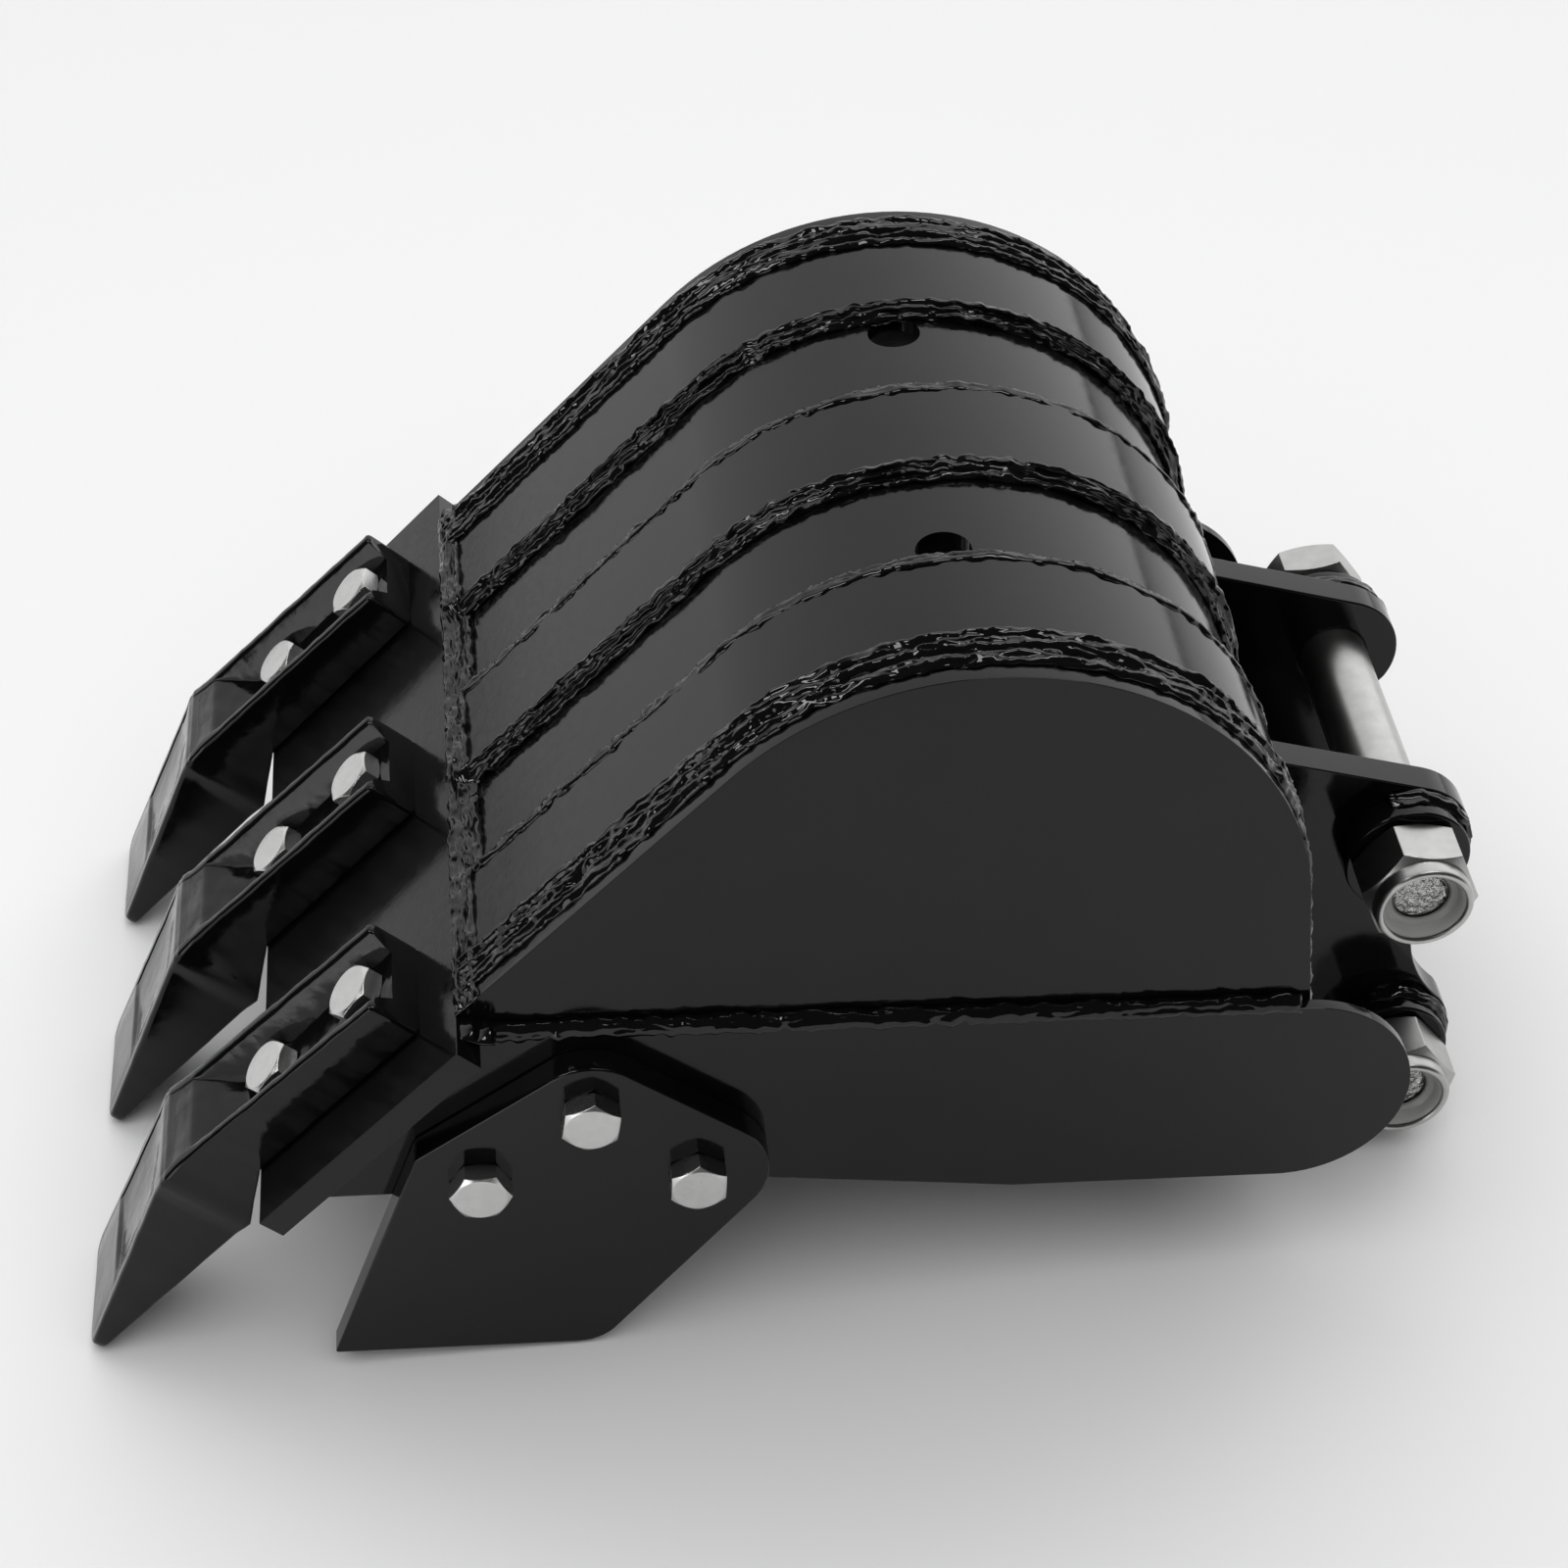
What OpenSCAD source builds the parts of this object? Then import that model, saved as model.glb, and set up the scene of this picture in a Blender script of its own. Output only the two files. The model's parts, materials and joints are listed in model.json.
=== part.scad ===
// Trenching bucket for a mini excavator, lying mouth down on its teeth,
// side cutters and hinge ears. Teeth point to -X, hinge ears to +X.
// Left is -Y and right is +Y. The origin is on the floor, below the
// middle of the bucket.

/* [Bucket shell] */
// Radius of the side plates' back, in mm
back_r = 108; // [104:0.5:112]
// Angle of the cutting edge and belly to the side bars
belly_slope = 49; // [46:0.5:52]
// Lean of the rear wall from square to the side bars
rear_lean = 8.8; // [6:0.2:10]
// Height of the mouth plane below the centre of the back
mouth_drop = 111; // [108:0.5:114]
// Width over the side plates
shell_w = 266; // [250:1:274]
// Thickness of the rolled shell
shell_t = 5; // [4:0.5:6]
// Thickness of each side plate
side_t = 6; // [5:0.5:8]
// Diameter of each drain hole
drain_d = 18; // [12:1:22]
// Distance between the two drain holes
drain_span = 124; // [112:1:128]

/* [Wear strips] */
// Width of each wear strip
strip_w = 42; // [36:1:46]
// Distance between neighbouring wear strips
strip_pitch = 94; // [88:1:100]

/* [Cutting edge] */
// Width of the cutting edge
lip_w = 300; // [290:1:320]
// Depth of the cutting edge from front to back
lip_l = 100; // [96:1:104]
// Thickness of the cutting edge
lip_t = 10; // [8:0.5:12]

/* [Side bars and side cutters] */
// Height of each side bar
bar_h = 80; // [76:1:84]
// Thickness of each side bar
bar_t = 4.5; // [4:0.5:6]
// Thickness of each side cutter
cutter_t = 10; // [8:1:12]
// Depth of the side cutters below the mouth plane
cutter_drop = 60; // [56:0.5:60]

/* [Teeth] */
// Distance between neighbouring teeth
tooth_pitch = 107; // [100:1:108]
// Width of a tooth's shank
tooth_w = 40; // [36:1:44]
// Width of a tooth's point
point_w = 50; // [46:1:54]
// Reach of the teeth in front of the cutting edge
tooth_reach = 102; // [98:1:106]

/* [Hinge ears and pins] */
// Clear gap between the two ears
ear_gap = 92; // [88:1:96]
// Thickness of each ear
ear_t = 12; // [10:1:14]
// Length of the boss outside each ear
boss_l = 10.5; // [8:0.5:12]
// Diameter of both hinge pins
pin_d = 25; // [24:0.5:26]
// Distance between the two hinge pins along the side bars' height
pin_span = 93.5; // [90:0.5:96]

/* [Hidden] */
$fn = 64;
eps = 0.5;

steel_black = [0.10, 0.10, 0.11];
zinc = [0.78, 0.79, 0.80];
nylon = [0.88, 0.88, 0.86];

// Every part is drawn in a side view frame: its origin is the centre of the
// rounded back, X runs along the side bars and Z is square to them.
along = [cos(belly_slope), sin(belly_slope)];
outward = [-sin(belly_slope), cos(belly_slope)];
function slope_pt(u, v) = u * along + v * outward;
function rear_x(r, z) = (r - z * sin(rear_lean)) / cos(rear_lean);
function polar(c, r, a) = c + r * [cos(a), sin(a)];
function arc(c, r, a0, a1, n) = [for (i = [0 : n]) polar(c, r, a0 + (a1 - a0) * i / n)];
function angle_to(p, q) = atan2(q[1] - p[1], q[0] - p[0]);

shell_r = back_r - shell_t;
shell_in_r = shell_r - shell_t;
side_out = shell_w / 2;
side_in = side_out - side_t;
bar_out = side_out + bar_t;
cutter_out = bar_out + cutter_t;

lip_back = -127;
lip_front = lip_back - lip_l;
lip_under = back_r - lip_t;
bar_top = bar_h - mouth_drop;
bar_end_x = 113.5;

// Mouth line from the cutting edge to the rear wall
mouth_front_z = -103;
mouth_step_x = -62;
mouth_flat_x = 22;
mouth_front_x = (mouth_front_z - lip_under * outward[1]) / along[1] * along[0] + lip_under * outward[0];
mouth_line = [[mouth_front_x, mouth_front_z], [mouth_step_x, mouth_front_z + 1],
              [mouth_flat_x, -mouth_drop]];

drain_a = 95;
strip_end_z = -52;

// M12 fasteners of the teeth and side cutters
m12_d = 12;
m12_hole = 12.6;
m12_af = 18;
m12_head = 7.5;
m12_nut = 10;
m12_tail = 2.5;

// Tooth side view: s runs up the cutting edge from its front, h stands off it
tooth_back = 82;
shank_h = 20;
ridge = [-22.5, 23.5];
heel = [-22, -13];
point_top = [-tooth_reach, -6];
point_low = [-tooth_reach + 1, -10];
pocket_h = 11;
pocket_wall = 4;
ramp_s = 4;
tooth_bolt_s = [24, 68];
tooth_bolt_turn = [[12, 20, 5], [14, 30, 24]];

// Side cutter outline and its bolts
cutter_bolt = [[-158.2, -87.6], [-122.6, -56.8], [-87, -87.6]];
cutter_bolt_turn = [0, 24, 30];
cutter_tip = [-208.5, -mouth_drop - cutter_drop];
cutter_shoulder = [-179.2, -76];
cutter_heel = [-125.5, -mouth_drop - cutter_drop];
cutter_top_r = 20;
cutter_rear_r = 24;
cutter_heel_r = 16;

// Hinge pins and ears
stick_c = [163.4, -30.8];
link_c = [172.6, -30.8 - pin_span];
ear_in = ear_gap / 2;
ear_out = ear_in + ear_t;
boss_out = ear_out + boss_l;
boss_d = 44;
lobe_r = 24.5;
foot_r = 25;
neck_r = 50;
neck_c = [225.5, -71.5];
ear_top_slope = 14.2;
root_gap = 0.02;
root_r = shell_r + root_gap;
pin_play = 0.1;
nut_gap = 0.4;
head_gap = 7;
nut_y = -boss_out - nut_gap;
head_y = boss_out + head_gap;
pin_head_l = 15;
pin_thread_d = 24;
pin_af = 36;
nut_hex_l = 18.5;
nut_collar_l = 5.5;
nut_collar_d = 34;
nylon_l = 4.5;
nylon_d = 30;
pin_tail_l = 17.8;

// Resting place: the floor touches the tooth points and the ears' feet
tip_low = slope_pt(lip_front + point_low[0], back_r + point_low[1]);
tip_front = slope_pt(lip_front + point_top[0], back_r + point_top[1]);
rest_tilt = angle_to(tip_low, link_c) - asin(foot_r / norm(link_c - tip_low));
function rest_x(p) = p[0] * cos(rest_tilt) + p[1] * sin(rest_tilt);
function rest_z(p) = p[1] * cos(rest_tilt) - p[0] * sin(rest_tilt);
mid_x = (rest_x(tip_front) + rest_x(link_c) + foot_r) / 2;
floor_z = rest_z(tip_low);

module rest() {
    translate([-mid_x, 0, -floor_z]) rotate([0, rest_tilt, 0]) children();
}

// A plate standing in the side view, from y0 to y1
module slab(y0, y1) {
    translate([0, y1, 0]) rotate([90, 0, 0]) linear_extrude(height = y1 - y0) children();
}

// A round bar along Y, from y0 to y1
module bar_y(c, d, y0, y1) {
    translate([c[0], y1, c[1]]) rotate([90, 0, 0]) cylinder(d = d, h = y1 - y0);
}

// A hexagon along Y, from y0 to y1, of a given width across its flats
module hex_y(c, af, y0, y1, turn) {
    translate([c[0], y1, c[1]]) rotate([90, turn, 0]) cylinder(d = af / cos(30), h = y1 - y0, $fn = 6);
}

// The frame of the cutting edge: X up the slope from its front, Z off its top
module on_lip() {
    p = slope_pt(lip_front, back_r);
    translate([p[0], 0, p[1]]) rotate([0, -belly_slope, 0]) children();
}

module on_right() {
    mirror([0, 1, 0]) children();
}

// A belt of sheet that follows the bucket's back between two radii. The
// straight runs reach 3 degrees into the round one, so that they fuse.
module belt(r_in, r_out, y0, y1, end_z) {
    mid = (r_in + r_out) / 2;
    slab(y0, y1)
        polygon([slope_pt(lip_back, r_in), slope_pt(lip_back, r_out), slope_pt(0, r_out),
                 polar([0, 0], mid, 87 + belly_slope), slope_pt(0, r_in)]);
    slab(y0, y1)
        polygon([polar([0, 0], r_in, rear_lean), polar([0, 0], mid, rear_lean + 3),
                 polar([0, 0], r_out, rear_lean), [rear_x(r_out, end_z), end_z],
                 [rear_x(r_in, end_z), end_z]]);
    intersection() {
        difference() {
            bar_y([0, 0], 2 * r_out, y0, y1, $fn = 180);
            bar_y([0, 0], 2 * r_in, y0 - 1, y1 + 1, $fn = 180);
        }
        slab(y0 - eps, y1 + eps)
            polygon([[0, 0], slope_pt(0, 2 * r_out), [2 * r_out, 2 * r_out],
                     polar([0, 0], 2 * r_out, rear_lean)]);
    }
}

module shell() {
    color(steel_black) rest() difference() {
        belt(shell_in_r, shell_r, -side_in, side_in, -mouth_drop);
        for (side = [-1, 1])
            translate([0, side * drain_span / 2, 0]) rotate([0, 90 - drain_a, 0])
                translate([0, 0, shell_in_r - 5]) cylinder(d = drain_d, h = shell_t + 10);
    }
}

module side_plate() {
    foot = [rear_x(back_r, -mouth_drop), -mouth_drop];
    outline = concat(
        [slope_pt(lip_back, lip_under), slope_pt(lip_back, back_r), slope_pt(0, back_r)],
        [polar([0, 0], back_r, rear_lean), foot],
        [mouth_line[2], mouth_line[1], mouth_line[0]]);
    difference() {
        union() {
            slab(-side_out, -side_in) polygon(outline);
            intersection() {
                bar_y([0, 0], 2 * back_r, -side_out, -side_in, $fn = 180);
                slab(-side_out - eps, -side_in + eps)
                    polygon([slope_pt(0, 0), slope_pt(0, 2 * back_r),
                             [2 * back_r, 2 * back_r], polar([0, 0], 2 * back_r, rear_lean)]);
            }
        }
        cutter_holes();
    }
}

module cutter_holes() {
    for (c = cutter_bolt) bar_y(c, m12_hole, -cutter_out - 1, -side_in + 1);
}

module side_plate_left() {
    color(steel_black) rest() side_plate();
}

module side_plate_right() {
    color(steel_black) rest() on_right() side_plate();
}

// Side bar: flat bar along the mouth with a full round at its rear end
module side_bar() {
    end_c = [bar_end_x, bar_top - bar_h / 2];
    top_x = (bar_top - lip_under * outward[1]) / along[1] * along[0] + lip_under * outward[0];
    difference() {
        union() {
            slab(-bar_out, -side_out)
                polygon(concat([[top_x, bar_top], [bar_end_x, bar_top], [bar_end_x, -mouth_drop]],
                               [mouth_line[2], mouth_line[1], mouth_line[0]]));
            bar_y(end_c, bar_h, -bar_out, -side_out, $fn = 96);
        }
        cutter_holes();
    }
}

module side_bar_left() {
    color(steel_black) rest() side_bar();
}

module side_bar_right() {
    color(steel_black) rest() on_right() side_bar();
}

module cutting_lip() {
    color(steel_black) rest() on_lip() difference() {
        translate([0, -lip_w / 2, -lip_t]) cube([lip_l, lip_w, lip_t]);
        for (y = [-tooth_pitch, 0, tooth_pitch], s = tooth_bolt_s)
            translate([s, y, -lip_t - 1]) cylinder(d = m12_hole, h = lip_t + 2);
    }
}

module wear_strip(y) {
    belt(shell_r, back_r, y - strip_w / 2, y + strip_w / 2, strip_end_z);
}

module wear_strip_left() {
    color(steel_black) rest() wear_strip(-strip_pitch);
}

module wear_strip_middle() {
    color(steel_black) rest() wear_strip(0);
}

module wear_strip_right() {
    color(steel_black) rest() wear_strip(strip_pitch);
}

// Bolt-on tooth: channel shank over the cutting edge, nose and wedge point
module tooth() {
    half = point_w / 2;
    profile = [point_top, ridge, [tooth_back - 3, shank_h], [tooth_back, shank_h - 4],
               [tooth_back, 0], [0, 0], heel, point_low];
    plan = [[-tooth_reach - 1, -half], [ridge[0], -tooth_w / 2], [tooth_back + 1, -tooth_w / 2],
            [tooth_back + 1, tooth_w / 2], [ridge[0], tooth_w / 2], [-tooth_reach - 1, half]];
    pocket = [ridge, [ramp_s, pocket_h], [tooth_back + 1, pocket_h],
              [tooth_back + 1, 2 * shank_h], [ridge[0], 2 * shank_h]];
    inner = tooth_w / 2 - pocket_wall;
    difference() {
        intersection() {
            slab(-half, half) polygon(profile);
            translate([0, 0, -2 * shank_h]) linear_extrude(height = 4 * shank_h) polygon(plan);
        }
        slab(-inner, inner) polygon(pocket);
        for (s = tooth_bolt_s) translate([s, 0, -1]) cylinder(d = m12_hole, h = shank_h);
    }
}

module tooth_left() {
    color(steel_black) rest() on_lip() translate([0, -tooth_pitch, 0]) tooth();
}

module tooth_middle() {
    color(steel_black) rest() on_lip() tooth();
}

module tooth_right() {
    color(steel_black) rest() on_lip() translate([0, tooth_pitch, 0]) tooth();
}

// M12 hex bolt: head above z = 0, shank down to a tail below its nut
module m12_bolt(grip, turn) {
    rotate([0, 0, turn]) cylinder(d = m12_af / cos(30), h = m12_head, $fn = 6);
    translate([0, 0, -grip - m12_nut - m12_tail]) cylinder(d = m12_d, h = grip + m12_nut + m12_tail);
}

// M12 nut hanging below z = 0
module m12_nut_body(turn) {
    translate([0, 0, -m12_nut]) difference() {
        rotate([0, 0, turn]) cylinder(d = m12_af / cos(30), h = m12_nut, $fn = 6);
        translate([0, 0, -1]) cylinder(d = m12_d, h = m12_nut + 2);
    }
}

module tooth_bolts() {
    color(zinc) rest() on_lip()
        for (i = [-1 : 1], k = [0, 1])
            translate([tooth_bolt_s[k], i * tooth_pitch, pocket_h])
                m12_bolt(pocket_h + lip_t, tooth_bolt_turn[k][i + 1]);
}

module tooth_nuts() {
    color(zinc) rest() on_lip()
        for (i = [-1 : 1], k = [0, 1])
            translate([tooth_bolt_s[k], i * tooth_pitch, -lip_t]) m12_nut_body(20 * i + 11 * k);
}

// Side cutter: pentagonal blade bolted to the outside of a side bar
module side_cutter() {
    top_c = cutter_bolt[1];
    rear_c = cutter_bolt[2];
    heel_c = cutter_heel + [0, cutter_heel_r];
    top_a = angle_to(top_c, rear_c) + 90;
    outline = concat(
        [cutter_tip, cutter_shoulder],
        arc(top_c, cutter_top_r, 128, top_a, 8),
        arc(rear_c, cutter_rear_r, top_a + 4, -38, 12),
        arc(heel_c, cutter_heel_r, -38, -90, 6));
    difference() {
        slab(-cutter_out, -bar_out) polygon(outline);
        cutter_holes();
    }
}

module side_cutter_left() {
    color(steel_black) rest() side_cutter();
}

module side_cutter_right() {
    color(steel_black) rest() on_right() side_cutter();
}

// Bolts and nuts of one side cutter, with the heads outside
module cutter_bolt_set() {
    for (i = [0 : 2]) {
        c = cutter_bolt[i];
        hex_y(c, m12_af, -cutter_out - m12_head, -cutter_out, cutter_bolt_turn[i]);
        bar_y(c, m12_d, -cutter_out, -side_in + m12_nut + m12_tail);
    }
}

module cutter_nut_set() {
    for (i = [0 : 2]) {
        c = cutter_bolt[i];
        difference() {
            hex_y(c, m12_af, -side_in, -side_in + m12_nut, 14 * i);
            bar_y(c, m12_d, -side_in - 1, -side_in + m12_nut + 1);
        }
    }
}

module cutter_bolts() {
    color(zinc) rest() {
        cutter_bolt_set();
        on_right() cutter_bolt_set();
    }
}

module cutter_nuts() {
    color(zinc) rest() {
        cutter_nut_set();
        on_right() cutter_nut_set();
    }
}

// Hinge ear: an upper lobe for the stick pin and a lower one for the link pin
module ear() {
    top = polar(stick_c, lobe_r, 90 - ear_top_slope);
    top_n = [sin(ear_top_slope), cos(ear_top_slope)];
    root_z = (top * top_n - root_r / cos(rear_lean) * top_n[0])
             / (top_n[1] - tan(rear_lean) * top_n[0]);
    foot_root = [rear_x(root_r, -mouth_drop + 2), -mouth_drop + 2];
    foot_a = angle_to(foot_root, link_c) - asin(foot_r / norm(link_c - foot_root)) - 90;
    difference() {
        union() {
            slab(-ear_out, -ear_in)
                polygon([[rear_x(root_r, root_z), root_z], top,
                         polar(stick_c, lobe_r, angle_to(stick_c, neck_c)),
                         polar(link_c, foot_r, angle_to(link_c, neck_c)),
                         polar(link_c, foot_r, foot_a), foot_root]);
            bar_y(stick_c, 2 * lobe_r, -ear_out, -ear_in);
            bar_y(link_c, 2 * foot_r, -ear_out, -ear_in);
        }
        bar_y(neck_c, 2 * neck_r, -ear_out - 1, -ear_in + 1);
        for (c = [stick_c, link_c]) bar_y(c, pin_d + 2 * pin_play, -ear_out - 1, -ear_in + 1);
    }
}

module ear_left() {
    color(steel_black) rest() ear();
}

module ear_right() {
    color(steel_black) rest() on_right() ear();
}

// Welded boss rings outside the ears, bored for the pins
module boss_pair() {
    for (c = [stick_c, link_c]) difference() {
        bar_y(c, boss_d, -boss_out, -ear_out);
        bar_y(c, pin_d + 2 * pin_play, -boss_out - 1, -ear_out + 1);
    }
}

module pin_bosses() {
    color(steel_black) rest() {
        boss_pair();
        on_right() boss_pair();
    }
}

// Hinge pin: hex bolt with its head on the right and its thread on the left
module hinge_pin(c, turn) {
    hex_y(c, pin_af, head_y, head_y + pin_head_l, turn);
    bar_y(c, pin_d, nut_y, head_y + eps);
    bar_y(c, pin_thread_d, nut_y - pin_tail_l, nut_y + eps);
}

// Lock nut with a collar that holds its nylon ring
module lock_nut(c, turn) {
    hex_end = nut_y - nut_hex_l;
    difference() {
        union() {
            hex_y(c, pin_af, hex_end, nut_y, turn);
            bar_y(c, nut_collar_d, hex_end - nut_collar_l, hex_end + eps);
        }
        bar_y(c, pin_thread_d, hex_end - nut_collar_l - 1, nut_y + 1);
        bar_y(c, nylon_d, hex_end - nut_collar_l - 1, hex_end - nut_collar_l + nylon_l);
    }
}

module nylon_ring(c) {
    collar_end = nut_y - nut_hex_l - nut_collar_l;
    difference() {
        bar_y(c, nylon_d, collar_end + 0.5, collar_end + nylon_l);
        bar_y(c, pin_thread_d, collar_end - 1, collar_end + nylon_l + 1);
    }
}

module stick_pin() {
    color(zinc) rest() hinge_pin(stick_c, 10);
}

module stick_pin_nut() {
    color(zinc) rest() lock_nut(stick_c, 1);
}

module stick_pin_nylon() {
    color(nylon) rest() nylon_ring(stick_c);
}

module link_pin() {
    color(zinc) rest() hinge_pin(link_c, 17);
}

module link_pin_nut() {
    color(zinc) rest() lock_nut(link_c, 14);
}

module link_pin_nylon() {
    color(nylon) rest() nylon_ring(link_c);
}

shell();
side_plate_left();
side_plate_right();
side_bar_left();
side_bar_right();
cutting_lip();
wear_strip_left();
wear_strip_middle();
wear_strip_right();
tooth_left();
tooth_middle();
tooth_right();
tooth_bolts();
tooth_nuts();
side_cutter_left();
side_cutter_right();
cutter_bolts();
cutter_nuts();
ear_left();
ear_right();
pin_bosses();
stick_pin();
stick_pin_nut();
stick_pin_nylon();
link_pin();
link_pin_nut();
link_pin_nylon();
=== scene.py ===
"""Looks of a narrow trenching bucket: painted steel, cast teeth, weld beads and zinc fasteners.

Shapes are worked out in the bucket's side view frame, in millimetres: its origin is the centre
of the rounded back, X runs along the side bars and Z is square to them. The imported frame's two
hinge pins say where that side view lies at rest.
"""

import json
import math

import bmesh
import bpy
from mathutils import Matrix, Vector, noise


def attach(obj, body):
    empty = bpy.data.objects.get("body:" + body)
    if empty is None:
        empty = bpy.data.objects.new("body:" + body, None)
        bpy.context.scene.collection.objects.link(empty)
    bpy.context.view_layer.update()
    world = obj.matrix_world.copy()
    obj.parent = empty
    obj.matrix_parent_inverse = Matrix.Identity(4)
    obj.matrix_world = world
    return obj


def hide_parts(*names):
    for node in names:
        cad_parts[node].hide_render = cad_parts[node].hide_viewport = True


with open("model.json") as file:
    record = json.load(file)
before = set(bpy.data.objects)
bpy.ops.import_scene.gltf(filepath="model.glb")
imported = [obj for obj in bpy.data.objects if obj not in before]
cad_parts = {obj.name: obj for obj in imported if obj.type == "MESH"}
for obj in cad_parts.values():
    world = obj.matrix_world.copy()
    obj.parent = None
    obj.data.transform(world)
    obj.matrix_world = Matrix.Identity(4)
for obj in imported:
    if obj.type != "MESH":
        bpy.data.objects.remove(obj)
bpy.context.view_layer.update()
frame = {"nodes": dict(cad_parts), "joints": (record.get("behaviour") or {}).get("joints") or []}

MM = 0.001

# ---------------------------------------------------------------- driving sizes, mm and degrees
# the shell, and the plates beside it
BELLY_SLOPE = 49.0
REAR_LEAN = 8.8
BACK_R = 108.0
SHELL_R = 103.0
SHELL_T = 5.0
SIDE_OUT = 133.0
SIDE_T = 6.0
SIDE_IN = SIDE_OUT - SIDE_T
BAR_T = 4.5
BAR_TOP = -31.0
MOUTH_Z = -111.0
CUTTER_T = 10.0
CUTTER_BOLTS = ((-158.2, -87.6), (-122.6, -56.8), (-87.0, -87.6))
# the cutting edge, flush with the wear strips
LIP_BACK = -127.0
LIP_L = 100.0
LIP_T = 10.0
LIP_UNDER = BACK_R - LIP_T
STRIP_W = 42.0
STRIP_PITCH = 94.0
STRIP_END_Z = -52.0
# the teeth, measured along the cutting edge from its front
TOOTH_PITCH = 107.0
TOOTH_BOLT_S = (24.0, 68.0)
POCKET_H = 11.0
# the ears and the hinge pins
STICK_C = (163.4, -30.8)
LINK_C = (172.6, -124.3)
EAR_IN, EAR_OUT = 46.0, 58.0
BOSS_R = 22.0
PIN_R, THREAD_R = 12.5, 12.0
NUT_Y = -68.9
HEAD_Y = 75.5

SIDES = ((-1, "left"), (1, "right"))

# ---------------------------------------------------------------- the side view frame
pin_at = {j["name"]: Vector(j["pos_m"]) for j in frame["joints"]}
STICK_AT = pin_at["stick_pin_turn"]
LINK_AT = pin_at["link_pin_turn"]


def heading(a, b):
    """The angle of the line from a to b, in radians."""
    return math.atan2(b[1] - a[1], b[0] - a[0])


TILT = heading(STICK_C, LINK_C) - heading((STICK_AT.x, STICK_AT.z), (LINK_AT.x, LINK_AT.z))
SIDE = Matrix.Rotation(TILT, 4, "Y")
SIDE.translation = STICK_AT - SIDE @ Vector((STICK_C[0], 0, STICK_C[1])) * MM
UNSIDE = SIDE.inverted()


def side_pt(x, y, z):
    """A point of the side view frame, in mm, as a point of the row frame, in metres."""
    return SIDE @ (Vector((x, y, z)) * MM)


def side_dir(x, y, z):
    """A direction of the side view frame as one of the row frame."""
    return (SIDE.to_3x3() @ Vector((x, y, z))).normalized()


def turned(deg):
    """The unit vector at an angle in degrees."""
    return math.cos(math.radians(deg)), math.sin(math.radians(deg))


ALONG = turned(BELLY_SLOPE)
OUTWARD = (-ALONG[1], ALONG[0])


def slope_pt(u, v):
    """The side view's x and z of a point, u along the belly's slope and v square to it."""
    return u * ALONG[0] + v * OUTWARD[0], u * ALONG[1] + v * OUTWARD[1]


def belly_pt(u, y, v):
    """A point of the straight belly: u up its slope from the back's centre, v square to it."""
    x, z = slope_pt(u, v)
    return side_pt(x, y, z)


def lip_pt(s, y, h):
    """A point on the cutting edge's own frame: s up the slope from its front, h off its top."""
    return belly_pt(LIP_BACK - LIP_L + s, y, BACK_R + h)


def back_line(r, end_z, step, start):
    """Stations (x, z, outward x, outward z) along the bucket's back at radius r.

    They run up the belly from start, round the back and down the rear wall to end_z.
    """
    out = []
    n = max(2, int(-start / step))
    for i in range(n):
        x, z = slope_pt(start * (1 - i / n), r)
        out.append((x, z, *OUTWARD))
    a0, a1 = 90 + BELLY_SLOPE, REAR_LEAN
    n = max(2, int(math.radians(a0 - a1) * r / step))
    for i in range(n + 1):
        c, s = turned(a0 + (a1 - a0) * i / n)
        out.append((r * c, r * s, c, s))
    c, s = turned(REAR_LEAN)
    x0, z0 = out[-1][:2]
    length = (z0 - end_z) / c
    n = max(2, int(length / step))
    for i in range(1, n + 1):
        d = length * i / n
        out.append((x0 + s * d, z0 - c * d, c, s))
    return out


# ---------------------------------------------------------------- materials
RANGE_SOCKETS = ("From Min", "From Max", "To Min", "To Max")
NOISE_SPREAD = (0.3, 0.7)  # where nearly all of a noise's values lie
TINT_DETAIL, ROUGH_DETAIL = 4.0, 3.0
EDGE_SAMPLES = 6


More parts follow.
